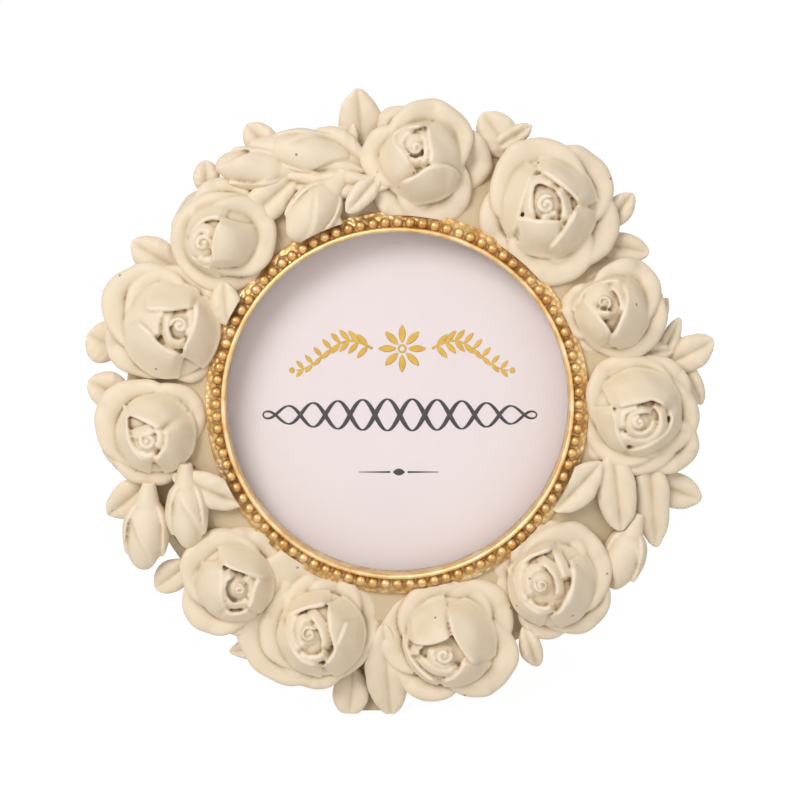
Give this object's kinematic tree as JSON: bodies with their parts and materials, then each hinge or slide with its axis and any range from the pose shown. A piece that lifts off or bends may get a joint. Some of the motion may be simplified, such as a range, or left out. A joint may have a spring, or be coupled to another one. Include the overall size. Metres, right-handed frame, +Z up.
{
  "type": "photo frame",
  "caption": "Round easel photo frame: a cast wreath of roses, buds and leaves round a beaded gilt rim, with glass, a clamped back board and a folding strut.",
  "frame": {"origin": "on the floor under the middle of the whole part, with the lug and the strut's foot standing on z = 0", "axes": "+X to the viewer's right, -Y towards the viewer, +Z up; the face leans back 14 degrees"},
  "size_m": [0.1349, 0.0629, 0.1322],
  "materials": {
    "cast_resin": "ivory paint, satin",
    "gilding": "gold paint, semi-gloss",
    "glass": "clear",
    "printed_card": "matt print",
    "grey_card": "matt card",
    "pressed_board": "raw pressed fibre",
    "velour": "short pile",
    "plated_steel": "thin brass plating"
  },
  "bodies": {
    "frame_body": {"back_board": "pressed_board", "backing_card": "grey_card", "board_rivets": "plated_steel", "board_velour": "velour", "bud_left_inner": "cast_resin", "bud_left_outer": "cast_resin", "bud_right": "cast_resin", "bud_upper_left_high": "cast_resin", "bud_upper_left_low": "cast_resin", "bud_upper_left_side": "cast_resin", "gilt_rim": "gilding", "glass": "glass", "hinge_fixed_leaf": "plated_steel", "hinge_pin": "plated_steel", "leaves_bottom": "cast_resin", "leaves_left": "cast_resin", "leaves_lower_left": "cast_resin", "leaves_lower_right": "cast_resin", "leaves_right": "cast_resin", "leaves_top": "cast_resin", "leaves_upper_left": "cast_resin", "leaves_upper_right": "cast_resin", "photo_insert": "printed_card", "rim_beads": "gilding", "rose_bottom": "cast_resin", "rose_bottom_left": "cast_resin", "rose_left_lower": "cast_resin", "rose_left_upper": "cast_resin", "rose_lower_left": "cast_resin", "rose_lower_right": "cast_resin", "rose_right_lower": "cast_resin", "rose_right_upper": "cast_resin", "rose_top": "cast_resin", "rose_upper_left": "cast_resin", "rose_upper_right": "cast_resin", "turn_button_screws": "plated_steel", "wreath_ring": "cast_resin"},
    "easel_strut": {"hinge_moving_leaf": "plated_steel", "strut_board": "pressed_board", "strut_velour": "velour", "strut_rivets": "plated_steel"},
    "turn_button_1_plate": {"turn_button_1": "plated_steel"},
    "turn_button_2_plate": {"turn_button_2": "plated_steel"},
    "turn_button_3_plate": {"turn_button_3": "plated_steel"},
    "turn_button_4_plate": {"turn_button_4": "plated_steel"}
  },
  "joints": [
    {"name": "easel_hinge", "type": "hinge", "parent": "frame_body", "child": "easel_strut", "pos_m": [0, 0.00784, 0.08643], "axis": [-1, 0, 0], "range_deg": [0, 28]},
    {"name": "turn_button_1_pivot", "type": "hinge", "parent": "frame_body", "child": "turn_button_1_plate", "pos_m": [0.03005, 0.00848, 0.09456], "axis": [0, -0.9703, 0.2419], "range_deg": [-90, 90]},
    {"name": "turn_button_2_pivot", "type": "hinge", "parent": "frame_body", "child": "turn_button_2_plate", "pos_m": [-0.03005, 0.00848, 0.09456], "axis": [0, -0.9703, 0.2419], "range_deg": [-90, 90]},
    {"name": "turn_button_3_pivot", "type": "hinge", "parent": "frame_body", "child": "turn_button_3_plate", "pos_m": [-0.03005, -0.00606, 0.03624], "axis": [0, -0.9703, 0.2419], "range_deg": [-90, 90]},
    {"name": "turn_button_4_pivot", "type": "hinge", "parent": "frame_body", "child": "turn_button_4_plate", "pos_m": [0.03005, -0.00606, 0.03624], "axis": [0, -0.9703, 0.2419], "range_deg": [-90, 90]}
  ]
}
